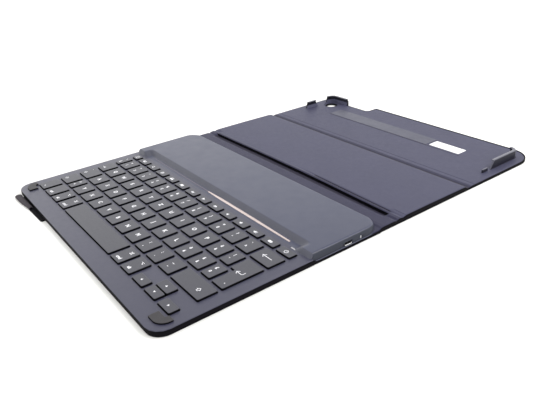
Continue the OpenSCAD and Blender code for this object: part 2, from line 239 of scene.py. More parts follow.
def add_field(bm, rows, columns_of, top, bottom):
    """A closed patch over a grid of depths by x places, between bottom(x, depth) and top(x, depth)."""
    upper, lower = [], []
    for depth in rows:
        xs = columns_of(depth)
        upper.append([bm.verts.new((x, depth, top(x, depth))) for x in xs])
        lower.append([bm.verts.new((x, depth, bottom(x, depth))) for x in xs])
    for a, b, flip in [(upper, upper, False), (lower, lower, True)]:
        for row, after in zip(a, b[1:]):
            for i in range(len(row) - 1):
                quad = (row[i], row[i + 1], after[i + 1], after[i])
                bm.faces.new(quad[::-1] if flip else quad)
    for i in range(len(rows) - 1):
        bm.faces.new((lower[i][0], upper[i][0], upper[i + 1][0], lower[i + 1][0]))
        bm.faces.new((upper[i][-1], lower[i][-1], lower[i + 1][-1], upper[i + 1][-1]))
    for i in range(len(upper[0]) - 1):
        bm.faces.new((lower[0][i], lower[0][i + 1], upper[0][i + 1], upper[0][i]))
        bm.faces.new((upper[-1][i], upper[-1][i + 1], lower[-1][i + 1], lower[-1][i]))


def add_sweep(bm, path, section, lean=(0, 0)):
    """A closed section of (inward, z) points swept along a path of ((x, depth), inward direction) places."""
    rings = []
    for (x, y), (nx, ny) in path:
        rings.append([bm.verts.new((x + nx * w, y + ny * w, z)) for w, z in section])
    foot = min(z for _, z in section)
    for ring, slant in zip((rings[0], rings[-1]), lean):
        for vert in ring:
            vert.co.y += slant * (vert.co.z - foot)
    for a, b in zip(rings, rings[1:]):
        for i in range(len(section)):
            j = (i + 1) % len(section)
            bm.faces.new((a[i], a[j], b[j], b[i]))
    bm.faces.new(rings[0][::-1])
    bm.faces.new(rings[-1])


# ---- Materials ----

def math_node(tree, operation, first, second):
    """A node that adds or multiplies two values."""
    node = tree.nodes.new("ShaderNodeMath")
    node.operation = operation
    tree.links.new(first, node.inputs[0])
    tree.links.new(second, node.inputs[1])
    return node.outputs["Value"]


def surface(name, colour, roughness, metallic=0.0, mottle=0.08, mottle_mm=25, grain_mm=0.35, grain=0.12,
            weave_mm=0.0, coat=0.0, specular=0.5):
    """A procedural finish: uneven colour, uneven gloss, and a fine grain or weave in its relief."""
    material = bpy.data.materials.new(name)
    material.use_nodes = True
    nodes = material.node_tree.nodes
    links = material.node_tree.links
    shader = nodes["Principled BSDF"]
    shader.inputs["Metallic"].default_value = metallic
    shader.inputs["Specular IOR Level"].default_value = specular
    shader.inputs["Coat Weight"].default_value = coat
    place = nodes.new("ShaderNodeTexCoord").outputs["Object"]

    def noise(size_mm, detail):
        node = nodes.new("ShaderNodeTexNoise")
        node.inputs["Scale"].default_value = 1 / (size_mm * MM)
        node.inputs["Detail"].default_value = detail
        links.new(place, node.inputs["Vector"])
        return node.outputs["Fac"]

    mix = nodes.new("ShaderNodeMix")
    mix.data_type = "RGBA"
    mix.inputs["A"].default_value = (*[c * (1 - mottle) for c in colour], 1)
    mix.inputs["B"].default_value = (*[min(1, c * (1 + mottle)) for c in colour], 1)
    links.new(noise(mottle_mm, 4), mix.inputs["Factor"])
    links.new(mix.outputs["Result"], shader.inputs["Base Color"])
    gloss = nodes.new("ShaderNodeMapRange")
    gloss.inputs["To Min"].default_value = max(0.03, roughness - 0.07)
    gloss.inputs["To Max"].default_value = min(1, roughness + 0.07)
    links.new(noise(mottle_mm / 6, 3), gloss.inputs["Value"])
    links.new(gloss.outputs["Result"], shader.inputs["Roughness"])
    relief = noise(grain_mm, 2)
    if weave_mm:
        crossings = []
        for direction in ("X", "Y"):
            wave = nodes.new("ShaderNodeTexWave")
            wave.bands_direction = direction
            wave.inputs["Scale"].default_value = 2 * math.pi / (20 * weave_mm * MM)
            wave.inputs["Distortion"].default_value = 0.6
            links.new(place, wave.inputs["Vector"])
            crossings.append(wave.outputs["Fac"])
        cross = math_node(material.node_tree, "MULTIPLY", *crossings)
        relief = math_node(material.node_tree, "ADD", cross, relief)
    bump = nodes.new("ShaderNodeBump")
    bump.inputs["Strength"].default_value = grain
    bump.inputs["Distance"].default_value = 0.1 * MM
    links.new(relief, bump.inputs["Height"])
    links.new(bump.outputs["Normal"], shader.inputs["Normal"])
    return material


deck_finish = surface("deck_plastic", (0.030, 0.030, 0.056), 0.42)
platform_finish = surface("platform_plastic", (0.026, 0.030, 0.062), 0.42, mottle=0.05, mottle_mm=60)
# Copies of the platform plastic with painted shading: the valley's rear slope in a tone of its own, the walls
# at its ends darker
platform_slope_shading = surface("platform_slope_shading", (0.046, 0.048, 0.070), 0.5, mottle=0.08, mottle_mm=25)
platform_wall_shade = surface("platform_wall_shade", (0.030, 0.033, 0.045), 0.45, mottle=0.1, mottle_mm=20, specular=0.12)
strip_shade = surface("strip_shade", (0.10, 0.09, 0.12), 0.5, grain=0.05)
key_finish = surface("key_top_plastic", (0.034, 0.034, 0.046), 0.45, mottle=0.05, mottle_mm=12)
# Painted shade: a near-black copy of the key plastic for the side walls of caps and pads, also given to the
# inner key layers
key_wall_shade = surface("key_wall_painted_shade", (0.002, 0.002, 0.003), 0.7, specular=0.05)
legend_finish = surface("legend_print", (0.75, 0.75, 0.78), 0.5, grain=0.03)
inner_fabric = surface("inner_fabric", (0.040, 0.040, 0.076), 0.62, mottle=0.10, weave_mm=0.45, grain=0.25,
                       specular=0.35)
# Spine fabric, darker than the panels' lining; also the painted shade over the middle fold and along the
# band's front edge
spine_and_fold_shade_fabric = surface("spine_and_fold_shade_fabric", (0.020, 0.019, 0.046), 0.62, mottle=0.10, weave_mm=0.45, grain=0.25,
                       specular=0.3)
# Painted shade: a darker fabric laid low in the groove, along the crease, in the middle fold's floor and
# round the clips' feet
groove_shade_fabric = surface("groove_shade_fabric", (0.026, 0.024, 0.040), 0.7, weave_mm=0.45, grain=0.25, specular=0.2)
# Painted black shadow under the ridge
gap_shadow_black = surface("gap_shade", (0.001, 0.001, 0.001), 0.9, specular=0.0)
outer_fabric = surface("outer_fabric", (0.002, 0.0015, 0.003), 0.65, mottle=0.15, weave_mm=0.5, grain=0.3,
                       specular=0.06)
flap_fabric = surface("flap_fabric", (0.030, 0.024, 0.030), 0.7, mottle=0.15, weave_mm=0.5, grain=0.35,
                      specular=0.25)
band_finish = surface("band_film", (0.016, 0.017, 0.045), 0.42, mottle=0.04, mottle_mm=40, specular=0.42)
clip_finish = surface("clip_plastic", (0.05, 0.05, 0.075), 0.30, mottle=0.05, specular=0.5)
# Painted shade: a darker copy of the clip plastic for the clips' steep faces
clip_wall_shade_finish = surface("clip_wall", (0.010, 0.010, 0.018), 0.45, mottle=0.05, specular=0.15)
dark_plastic = surface("dark_plastic", (0.003, 0.003, 0.005), 0.45, specular=0.12)
bumper_finish = surface("bumper_rubber", (0.030, 0.028, 0.031), 0.6, grain_mm=0.5, grain=0.2, specular=0.35)
copper_finish = surface("pale_copper", (0.52, 0.44, 0.42), 0.28, metallic=1.0, mottle=0.03, grain=0.04)
steel_finish = surface("steel", (0.55, 0.55, 0.56), 0.3, metallic=1.0, mottle=0.05, grain=0.05)
silicone_finish = surface("silicone", (0.55, 0.55, 0.57), 0.5)
board_finish = surface("board", (0.02, 0.11, 0.05), 0.4, coat=0.3)
cell_finish = surface("cell_foil", (0.5, 0.5, 0.5), 0.35, metallic=0.9, grain_mm=1.5)
label_finish = surface("label_paper", (0.80, 0.80, 0.79), 0.55, mottle=0.02, grain=0.05)
light_finish = surface("light_pipe", (0.42, 0.42, 0.44), 0.3, grain=0.03)

for node, finish in {
    "base_tray": dark_plastic, "key_backplate": key_wall_shade, "switch_membrane": key_wall_shade,
    "rubber_domes": silicone_finish, "scissor_links": light_finish, "circuit_board": board_finish,
    "battery_cells": cell_finish, "charge_socket": steel_finish, "light_pipes": light_finish,
    "dock_magnets": steel_finish, "spine_stiffener": dark_plastic, "lower_panel_board": dark_plastic,
    "upper_tray": dark_plastic, "flap_magnet": steel_finish,
}.items():
    frame["nodes"][node].data.materials.clear()
    frame["nodes"][node].data.materials.append(finish)


# ---- Keys ----

def solid_boxes(node):
    """(x0, depth0, x1, depth1, z0, z1) of each separate solid of a node, from left to right."""
    bm = bmesh.new()
    bm.from_mesh(frame["nodes"][node].data)
    bmesh.ops.remove_doubles(bm, verts=bm.verts, dist=1e-6)
    left = set(bm.verts)
    boxes = []
    while left:
        group, edge = set(), [left.pop()]
        while edge:
            vert = edge.pop()
            group.add(vert)
            for link in vert.link_edges:
                other = link.other_vert(vert)
                if other in left:
                    left.discard(other)
                    edge.append(other)
        xs = [v.co.x / MM for v in group]
        ys = [v.co.y / MM - FRONT for v in group]
        zs = [v.co.z / MM for v in group]
        boxes.append((min(xs), min(ys), max(xs), max(ys), min(zs), max(zs)))
    bm.free()
    return sorted(boxes)


KEY_R = 1.1
KEY_WALL = 0.9
KEY_CEILING = KEY_Z - 1.0
KEY_TAPER = 0.12
KEY_EDGE_R = 0.3
KEY_PROFILE = [(KEY_WALL, KEY_CEILING), (KEY_WALL, KEY_BOTTOM), (0, KEY_BOTTOM),
               *rounded_top(KEY_TAPER, KEY_Z, KEY_EDGE_R)]
ENTER_STEP = 5.0
ENTER_INNER_R = 0.5

key_nodes = [n for n in frame["nodes"] if n.startswith(("key_", "keys_")) and n != "key_backplate"]
key_boxes = {n: [box[:4] for box in solid_boxes(n)] for n in sorted(key_nodes)}

enter_x0, enter_y0, enter_x1, enter_y1 = key_boxes["key_enter"][0]
enter_step_x = enter_x0 + ENTER_STEP
enter_step_y = key_boxes["key_tab"][0][1]


def enter_outline(gap=0.0, inner_r=ENTER_INNER_R):
    """Enter is an L, grown by gap: its near part starts further right than its rear part."""
    left, step, right = enter_x0 - gap, enter_step_x - gap, enter_x1 + gap
    near, notch, rear = enter_y0 - gap, enter_step_y - gap, enter_y1 + gap
    return [(step, near, KEY_R), (right, near, KEY_R), (right, rear, KEY_R), (left, rear, KEY_R),
            (left, notch, KEY_R), (step, notch, inner_r)]


for node, boxes in key_boxes.items():
    bm = bmesh.new()
    for box in boxes:
        corners = enter_outline() if node == "key_enter" else rectangle(*box, KEY_R)
        add_solid(bm, corners, KEY_PROFILE, steps=4)
    # Side walls of the caps take the near-black copy: painted shade in the gaps between keys
    finish_mesh(f"cap_{node}", bm, [key_finish, key_wall_shade], node, [node], paint_side_shade=True)


# ---- Key legends ----

STROKE = 0.55
THIN = STROKE * 0.8
PRINT_Z = KEY_Z + 0.012
PRINT_T = 0.02
PRINT_BOLD = 0.035


def add_stroke(bm, points, width, closed):
    """A line of even width with mitred corners, as thin print on the key top."""
    points = [Vector(p) for p in points]
    count = len(points)
    left, right = [], []
    for i, p in enumerate(points):
        before = points[i - 1] if i or closed else p
        after = points[(i + 1) % count] if i < count - 1 or closed else p
        into = (p - before) if (p - before).length > 1e-6 else (after - p)
        away = (after - p) if (after - p).length > 1e-6 else into
        into, away = into.normalized(), away.normalized()
        across = Vector((-into.y - away.y, into.x + away.x))
        across = across / max(across.length_squared / 2, 0.3)
        left.append(bm.verts.new((*(p + across * width / 2), PRINT_Z)))
        right.append(bm.verts.new((*(p - across * width / 2), PRINT_Z)))
    for i in range(count if closed else count - 1):
        j = (i + 1) % count
        bm.faces.new((right[i], right[j], left[j], left[i]))


def add_shape(bm, points):
    bm.faces.new([bm.verts.new((x, y, PRINT_Z)) for x, y in points])


def circle(x, y, r, count=14):
    return [(x + r * math.cos(2 * math.pi * k / count), y + r * math.sin(2 * math.pi * k / count))
            for k in range(count)]


def line(*points, width=1.0, closed=False):
    return points, width * THIN, closed


def shape(*points):
    return points, 0, True


def sound(waves):
    cone = shape((-1.1, -0.4), (-0.5, -0.4), (0.2, -1.0), (0.2, 1.0), (-0.5, 0.4), (-1.1, 0.4))
    return [cone, *[line((0.6 + 0.5 * k, -0.5 - 0.3 * k), (0.6 + 0.5 * k, 0.5 + 0.3 * k), width=0.8)
                    for k in range(waves)]]


# Simple signs as lines and filled shapes, in units of the sign's size from its middle
SIGNS = {
    "arrow_left": [line((2.6, 0), (-2.4, 0)), line((-1.3, 0.95), (-2.5, 0), (-1.3, -0.95))],
    "return": [line((1.5, 1.1), (1.5, -0.2), (1.2, -0.5), (-1.5, -0.5)),
               line((-0.6, 0.4), (-1.6, -0.5), (-0.6, -1.4))],
    "loops": [line((-0.45, -0.45), (0.45, -0.45), (0.45, 0.45), (-0.45, 0.45), width=0.8, closed=True),
              *[line(*circle(a, b, 0.3, 8), width=0.7, closed=True)
                for a in (-0.75, 0.75) for b in (-0.75, 0.75)]],
    "option": [line((-1.2, 0.6), (-0.4, 0.6), (0.4, -0.6), (1.2, -0.6)), line((0.3, 0.6), (1.2, 0.6))],
    "shift": [line((0, 1.1), (1.1, 0), (0.5, 0), (0.5, -0.9), (-0.5, -0.9), (-0.5, 0), (-1.1, 0),
                   width=0.8, closed=True)],
    "tab": [line((-1.3, 0), (1.0, 0)), line((0.3, 0.7), (1.1, 0), (0.3, -0.7)),
            line((1.5, 0.8), (1.5, -0.8))],
    "left": [shape((-0.8, 0), (0.5, -0.8), (0.5, 0.8))],
    "right": [shape((0.8, 0), (-0.5, 0.8), (-0.5, -0.8))],
    "up": [shape((0, 0.8), (-0.8, -0.5), (0.8, -0.5))],
    "down": [shape((0, -0.8), (0.8, 0.5), (-0.8, 0.5))],
    "dot": [shape(*circle(0, 0, 0.35))],
    "square": [line((-1, -1), (1, -1), (1, 1), (-1, 1), closed=True)],
    "cards": [shape((-1.2, -0.8), (0.2, -0.8), (0.2, 0.8), (-1.2, 0.8)),
              line((0.6, -0.7), (1.3, -0.7), (1.3, 0.7), (0.6, 0.7))],
    "search": [line(*circle(-0.2, 0.2, 0.75), closed=True), line((0.4, -0.4), (1.1, -1.1))],
    "globe": [line(*circle(0, 0, 1), closed=True), line((-1, 0), (1, 0)), line((0, -1), (0, 1))],
    "board": [shape((-1.5, -0.8), (1.5, -0.8), (1.5, 0.2), (-1.5, 0.2)), line((-1.4, 0.75), (1.4, 0.75))],
    "camera": [shape((-1.3, -0.8), (1.3, -0.8), (1.3, 0.8), (-1.3, 0.8))],
    "previous": [shape((-1.1, 0), (0, -0.9), (0, 0.9)), shape((0.1, 0), (1.2, -0.9), (1.2, 0.9))],
    "play": [shape((1.0, 0), (-0.9, 1.0), (-0.9, -1.0))],
    "next": [shape((1.1, 0), (0, 0.9), (0, -0.9)), shape((-0.1, 0), (-1.2, 0.9), (-1.2, -0.9))],
    "sound0": sound(0),
    "sound1": sound(1),
    "sound2": sound(2),
    "cell": [shape((-1.3, -0.7), (1.0, -0.7), (1.0, 0.7), (-1.3, 0.7)),
             shape((1.1, -0.3), (1.4, -0.3), (1.4, 0.3), (1.1, 0.3))],
    "power": [line(*[(math.sin(a * 0.3), math.cos(a * 0.3)) for a in range(2, 20)]),
              line((0, 0.2), (0, 1.2))],
}


def add_sign(bm, kind, x, y, size):
    for points, width, closed in SIGNS[kind]:
        placed = [(x + a * size, y + b * size) for a, b in points]
        if width:
            add_stroke(bm, placed, width, closed)
        else:
            add_shape(bm, placed)


def add_text(bm, words, x, y, size):
    """Print in the default typeface, thickened a little, centred on a place."""
    curve = bpy.data.curves.new("words", "FONT")
    curve.body = words
    curve.size = size
    curve.align_x = "CENTER"
    curve.align_y = "CENTER"
    curve.offset = PRINT_BOLD * size
    curve.resolution_u = 3
    carrier = bpy.data.objects.new("words", curve)
    bpy.context.scene.collection.objects.link(carrier)
    bpy.context.view_layer.update()
    print_mesh = bpy.data.meshes.new_from_object(carrier.evaluated_get(bpy.context.evaluated_depsgraph_get()))
    before = len(bm.verts)
    bm.from_mesh(print_mesh)
    bm.verts.ensure_lookup_table()
    fresh = bm.verts[before:]
    bmesh.ops.translate(bm, verts=fresh, vec=(x, y, PRINT_Z))
    bpy.data.objects.remove(carrier)
    bpy.data.meshes.remove(print_mesh)
    bpy.data.curves.remove(curve)


LETTER = 4.6
MARK = 3.6
WORD = 3.4


def letter(text):
    return [(text, 0, 0.4, LETTER)]


def pair(front, back):
    return [(front, -1.2, -2.6, MARK), (back, -1.2, 2.9, MARK)]


def word(text, sign):
    return [(text, 0, -4.6, WORD), (sign, 1.6, 4.3, 1.3)]


def sign(kind):
    return [(kind, 0, 0, 1.5)]


# What is printed on each cap: (text or sign, x and depth from the cap's middle, size); signs start with *
LEGENDS = {
    "key_fn": [[("fn", 0, -4.8, 1.9)]],
    "key_ctrl": [[("ctrl", 0, -4.6, WORD)]],
    "key_alt_left": [word("alt", "*option")],
    "key_cmd_left": [word("cmd", "*loops")],
    "key_cmd_right": [word("cmd", "*loops")],
    "key_alt_right": [word("alt", "*option")],
    **{f"key_arrow_{way}": [[(f"*{way}", 0, 0, 1.2)]] for way in ("left", "down", "up", "right")},
    "key_shift_left": [[("*shift", -4.2, -2.6, 1.4)]],
    "key_shift_right": [[("*shift", 8.0, -1.0, 1.5)]],
    "key_caps_lock": [[("*shift", -5.2, -2.6, 1.3), ("*dot", -5.2, 4.6, 1.0)]],
    "key_tab": [[("*tab", -2.2, -2.6, 1.3)]],
    "key_enter": [[("*return", 1.5, 2.6, 1.9), ("*dot", 4.6, -11.6, 1.2)]],
    "key_backspace": [[("*arrow_left", 0, 0, 1.9)]],
    "keys_lower_left": [pair("<", ">"), *map(letter, "YXCVB")],
    "keys_lower_right": [*map(letter, "NM"), pair(",", ";"), pair(".", ":"), pair("-", "_")],
    "keys_home_left": [*map(letter, "ASDFGH")],
    "keys_home_right": [*map(letter, "JKL"), pair("é", "ö"), pair("à", "ä"), pair("$", "£")],
    "keys_upper_left": [*map(letter, "QWERTZ")],
    "keys_upper_right": [*map(letter, "UIOP"), pair("è", "ü"), pair("¨", "!")],
    "keys_number_left": [pair("§", "°"), pair("1", "+"), pair("2", '"'), pair("3", "*"), pair("4", "ç")],
    "keys_number_middle": [pair("5", "%"), pair("6", "&"), pair("7", "/"), pair("8", "(")],
    "keys_number_right": [pair("9", ")"), pair("0", "="), pair("'", "?"), pair("^", "`")],
    "keys_function_left": [*map(sign, ["*square", "*cards", "*search", "*globe", "*board"])],
    "keys_function_middle": [*map(sign, ["*camera", "*previous", "*play", "*next", "*sound0"])],
    "keys_function_right": [*map(sign, ["*sound1", "*sound2", "*cell", "*power"])],
}
for node, caps in LEGENDS.items():
    bm = bmesh.new()
    for (x0, y0, x1, y1), prints in zip(key_boxes[node], caps):
        for what, dx, dy, size in prints:
            x = (x0 + x1) / 2 + dx
            y = (y0 + y1) / 2 + dy
            if what[0] == "*" and len(what) > 1:
                add_sign(bm, what[1:], x, y, size)
            else:
                add_text(bm, what, x, y, size)
    for face in bm.faces:
        face.normal_update()
        if face.normal.z < 0:
            face.normal_flip()
    lifted = bmesh.ops.extrude_face_region(bm, geom=list(bm.faces))["geom"]
    raised = [g for g in lifted if isinstance(g, bmesh.types.BMVert)]
    bmesh.ops.translate(bm, verts=raised, vec=(0, 0, PRINT_T))
    finish_mesh(f"print_{node}", bm, [legend_finish], node)


# ---- Key deck ----

WELL_GAP = 0.55
WELL_INNER_R = 0.6
BASE = rectangle(-HALF_W, 0, HALF_W, DECK_REAR, CORNER_R, 0.4)
SKIN_LIP = DECK_Z - 0.6
LEDGE_Z = SKIN_LIP + 0.12
PLATE_UNDER = DECK_Z - 1.2
SKIRT_UNDER = PLATE_UNDER - 0.6
DECK_EDGE = [(2.3, PLATE_UNDER), (2.3, SKIRT_UNDER), (0.9, SKIRT_UNDER), (0.9, LEDGE_Z), (0.05, LEDGE_Z),
             *rounded_top(0.05, DECK_Z, 0.3)]
WELL_EDGE = [(0, PLATE_UNDER), (0, DECK_Z - 0.12), (-0.04, DECK_Z - 0.04), (-0.12, DECK_Z), (-0.22, DECK_Z)]


def grown(box, gap):
    return rectangle(box[0] - gap, box[1] - gap, box[2] + gap, box[3] + gap, KEY_R)


arrow_names = ("key_arrow_down", "key_arrow_up")
wells = [grown(b, WELL_GAP) for n, boxes in key_boxes.items() for b in boxes
         if n not in arrow_names and n != "key_enter"]
low_arrow, high_arrow = (key_boxes[n][0] for n in arrow_names)
wells.append(grown((low_arrow[0], low_arrow[1], high_arrow[2], high_arrow[3]), WELL_GAP))
wells.append(enter_outline(WELL_GAP, WELL_INNER_R))
dock_lamp, side_lamp = solid_boxes("light_pipes")
wells.append(rectangle(*dock_lamp[:4], 0.3))
bm = bmesh.new()
add_solid(bm, BASE, DECK_EDGE, wells, WELL_EDGE, steps=4)
finish_mesh("deck_plate", bm, [deck_finish, key_wall_shade], "base", ["keyboard_deck"])


# ---- Battery platform ----

PLATFORM_R = 12
EDGE_R = 2.6
REAR_R = 1.3
PLATFORM_FRONT = 115.0
VALLEY_Z = DECK_Z - 0.2
VALLEY_REAR = 122.3
SLOPE = 4.4
LOBE_X = 112.0
LOBE_SPREAD = 8
LOBE_FRONT = 115.2
LOBE_RUN = 3.2
WALL_BAND = 16
WALL_STEEP = 0.62
SLOPE_REAR = 128
SLOPE_FLAT = 0.97


def smooth(t):
    t = min(1, max(0, t))
    return t * t * (3 - 2 * t)


def edge_drop(distance, radius):
    if distance >= radius:
        return 0
    return radius - math.sqrt(max(0, radius * radius - (radius - distance) ** 2))


def platform_edge(x, depth):
    """Distance in from the platform's sides and rear, its rear corners rounded."""
    across = PLATFORM_HALF - abs(x)
    back = PLATFORM_REAR - depth
    if across < PLATFORM_R and back < PLATFORM_R:
        return PLATFORM_R - math.hypot(PLATFORM_R - across, PLATFORM_R - back)
    return min(across, back)


def platform_top(x, depth):
    """The valley's floor and rear slope, closed by a lobe at each end."""
    climb = PLATFORM_Z - VALLEY_Z
    middle = VALLEY_Z + climb * smooth((depth - VALLEY_REAR) / SLOPE)
    lobe = VALLEY_Z + climb * smooth((depth - LOBE_FRONT) / LOBE_RUN)
    z = middle + (lobe - middle) * smooth((abs(x) - LOBE_X) / LOBE_SPREAD)
    rear = smooth((depth - PLATFORM_REAR + PLATFORM_R) / PLATFORM_R)
    rear *= smooth((PLATFORM_HALF - PLATFORM_R - abs(x)) / 6 + 1)
    return max(z - edge_drop(platform_edge(x, depth), EDGE_R + (REAR_R - EDGE_R) * rear), PLATE_UNDER)


def platform_half(depth):
    back = PLATFORM_REAR - depth
    if back >= PLATFORM_R:
        return PLATFORM_HALF
    return PLATFORM_HALF - PLATFORM_R + math.sqrt(max(0, PLATFORM_R ** 2 - (PLATFORM_R - back) ** 2))


RIM = [0, 0.03, 0.1, 0.22, 0.4, 0.65, 1.0, 1.4, 1.9, 2.6, 2.8]


def platform_columns(depth):
    half = platform_half(depth)
    inner = [123, 122, 121, 120, 119, 118, 117.5, 117, 116, 115, 113, 105, 80, 50, 25, 0]
    squeeze = half / PLATFORM_HALF
    right = [half - e for e in RIM] + [half - 3.4, half - 5] + [x * squeeze for x in inner]
    return mirrored(right)


front_rows = [PLATFORM_FRONT + 0.3 * k for k in range(42)]
rear_rows = [PLATFORM_REAR - e for e in [12, 10, 8, 6, 4.5, 3.3, *RIM[-2::-1]]]
rows = front_rows + [130 + 6 * k for k in range(7)] + rear_rows
bm = bmesh.new()
add_field(bm, rows, platform_columns, platform_top, lambda x, y: SKIRT_UNDER)
# Painted shading: steep faces near the platform's ends take the darker wall copy, and the valley's rear slope
# its own tone
for face in bm.faces:
    face.normal_update()
    middle = face.calc_center_median()
    if abs(face.normal.x) > WALL_STEEP and abs(middle.x) > PLATFORM_HALF - WALL_BAND:
        face.material_index = 2
    elif middle.y < SLOPE_REAR and abs(face.normal.z) < SLOPE_FLAT:
        face.material_index = 1
platform = finish_mesh("platform_shell", bm, [platform_finish, platform_slope_shading, platform_wall_shade], "base",
                       ["platform_cover"])


def cut(piece, x0, y0, z0, x1, y1, z1):
    """Cuts a straight slot through a piece."""
    bm = bmesh.new()
    add_solid(bm, rectangle(x0, y0, x1, y1, 0.05), [(0, z0), (0, z1)], steps=2)
    cutter = finish_mesh("cutter", bm, [])
    slot_cut = piece.modifiers.new("slot", "BOOLEAN")
    slot_cut.object = cutter
    slot_cut.solver = "EXACT"
    bpy.context.view_layer.update()
    mesh = bpy.data.meshes.new_from_object(piece.evaluated_get(bpy.context.evaluated_depsgraph_get()))
    piece.modifiers.remove(slot_cut)
    piece.data = mesh
    bpy.data.objects.remove(cutter)


socket = solid_boxes("charge_socket")[0]
for (x0, y0, x1, y1, z0, z1), gap in [(socket, 0.15), (side_lamp, 0.0)]:
    cut(platform, x0 - 1, y0 - gap, z0 - gap, PLATFORM_HALF + 1, y1 + gap, z1 + gap)

# Bright metal lip under the charging port, and a ledge along the foot of the platform's walls
bm = bmesh.new()
add_solid(bm, rectangle(socket[2] - 0.6, socket[1] + 0.6, PLATFORM_HALF + 0.12, socket[3] - 0.9, 0.2),
          [(0, socket[4] - 0.1), *rounded_top(0, socket[4] + 0.45, 0.2)])
finish_mesh("port_lip", bm, [steel_finish], "base", [])


def wall_path(side, front):
    depths = (front, 140, 160, PLATFORM_REAR - PLATFORM_R)
    angles = [math.radians(10 * k) for k in range(1, 7)]
    return [((side * PLATFORM_HALF, d), (-side, 0)) for d in depths] + rear_corner(
        side, PLATFORM_HALF, PLATFORM_REAR, PLATFORM_R, angles)


bm = bmesh.new()
for side in (1, -1):
    add_sweep(bm, wall_path(side, 119.5), [(0.4, 1.9), (0.4, 2.6), (-0.3, 2.5), (-0.5, 2.35), (-0.5, 1.9)])
finish_mesh("platform_ledge", bm, [platform_finish], "base", [])

# Metal strip in the valley: bright to the right, with a dull part at its left end
strip = box_mm("dock_strip")
STRIP_Z = VALLEY_Z + 0.25
BRIGHT_X = -6
DULL_X = -5
bm = bmesh.new()
bright = [(BRIGHT_X, strip.y0 + 0.6, 0.1), (10, strip.y0, 1.0), (70, strip.y0, 3.0),
          (strip.x1, strip.y0 + 0.3, 0.2), (strip.x1, strip.y1 - 0.7, 0.2), (60, strip.y1, 3.0),
          (14, strip.y1, 1.0), (BRIGHT_X, strip.y1 - 0.9, 0.1)]
add_solid(bm, bright, [(0, strip.z0), *rounded_top(0, STRIP_Z, 0.15)])
finish_mesh("dock_metal", bm, [copper_finish], "base", ["dock_strip"])
bm = bmesh.new()
dull = [(strip.x0, strip.y0 + 0.9, 0.1), (DULL_X, strip.y0 + 0.5, 0.1), (DULL_X, strip.y1 - 0.8, 0.1),
        (strip.x0, strip.y1 - 0.9, 0.1)]
add_solid(bm, dull, [(0, strip.z0), *rounded_top(0, STRIP_Z - 0.05, 0.15)])
finish_mesh("dock_shade", bm, [strip_shade], "base", [])


# ---- Corner bumpers ----

# Each pad is stepped at its rear round the nearest key
BUMPER_MID = 12.9
BUMPER_ARM = 5.6
BUMPER_R = 7.9
bm = bmesh.new()
for x0, y0, x1, y1, z0, z1 in solid_boxes("corner_bumpers"):
    side = 1 if x0 > 0 else -1
    near, out = sorted((abs(x0), abs(x1)))
    pad = [
        (near, y0, 0.5), (out, y0, BUMPER_R), (out, y1, 0.5), (out - BUMPER_ARM, y1, 0.5),
        (out - BUMPER_ARM, BUMPER_MID, 0.8), (near, BUMPER_MID, 0.5),
    ]
    if side < 0:
        pad = [(-x, y, r) for x, y, r in pad[::-1]]
    add_solid(bm, pad, [(0, DECK_Z), *rounded_top(0, z1, 0.3)])
# Side walls of the pads take the near-black key copy: painted shade
finish_mesh("bumper_pads", bm, [bumper_finish, key_wall_shade], "base", ["corner_bumpers"],
            paint_side_shade=True)


# ---- Outer skin of the base ----

LOW_LIP = 2.0
LIP_T = 0.85
BASE_REAR = PLATFORM_REAR + 0.1


def lip_top(x, depth):
    fall = smooth((depth - DECK_REAR + 1) / 5)
    if depth > BASE_REAR - 1.2 and abs(x) < HALF_W - LIP_T - 0.4:
        return SKIN_T + 0.02
    return SKIN_LIP + (LOW_LIP - SKIN_LIP) * fall


def shifted(z, by):
    return lambda x, y: max(SKIN_T + 0.01, z(x, y) + by)


bm = bmesh.new()
side_places = [(-HALF_W, d, 0.05) for d in (BASE_REAR - 1.5, 140, 130, 126, 123, 120, DECK_REAR)]
shell = [(-HALF_W, 0, CORNER_R), (HALF_W, 0, CORNER_R), *[(-x, d, r) for x, d, r in side_places[::-1]],
         (HALF_W, BASE_REAR, 0.3), (-HALF_W, BASE_REAR, 0.3), *side_places]
add_solid(bm, shell, [
    (0.5, 0), (0.15, 0.15), (0, 0.5), (0, shifted(lip_top, -0.2)), (0.08, shifted(lip_top, -0.06)),
    (0.22, shifted(lip_top, 0)), (LIP_T - 0.2, shifted(lip_top, 0)), (LIP_T, shifted(lip_top, -0.2)),
    (LIP_T, SKIN_T),
])
finish_mesh("skin_base", bm, [outer_fabric], "base", ["base_skin"])


# ---- Lid and spine: lining on top, skin below and up the edges ----

# Height of the lining along its depth: spine, groove, ridge, crease, lower panel, middle fold, upper panel
HEIGHTS = [
    (150, 2.9), (180, 2.9), (181.8, 3.1), (183.4, 3.7), (186, 3.9), (194.6, 3.9), (196.0, 3.6), (197.4, 3.0),
    (198.8, 2.35), (200.0, 2.0), (201.5, 1.9), (201.75, 2.0), (201.9, 2.75), (202.1, 4.3), (202.5, 4.95),
    (203.1, 5.15), (203.8, 5.0), (204.6, 4.75), (206.0, 4.7), (209, 4.75), (240, 4.7), (270, 4.4),
    (277.5, 4.3), (279.2, 4.2), (280.6, 3.85), (281.8, 3.2), (282.8, 2.5), (283.6, 2.05), (284.4, 1.95),
    (285.4, 2.1), (286.8, 2.38), (288.2, 2.54), (290, 2.6), (400, 2.6),
]
LINING_HALF = PANEL_HALF - 0.55
RIM_R = 1.2
GROOVE_Y = 198.8
CREASE_Y = 205.7
CREASE_DEEP = 1.5
SIDE_X = 117.5


def along(places, depth):
    for (d0, z0), (d1, z1) in zip(places, places[1:]):
        if depth <= d1:
            return z0 + (z1 - z0) * (depth - d0) / (d1 - d0)
    return places[-1][1]


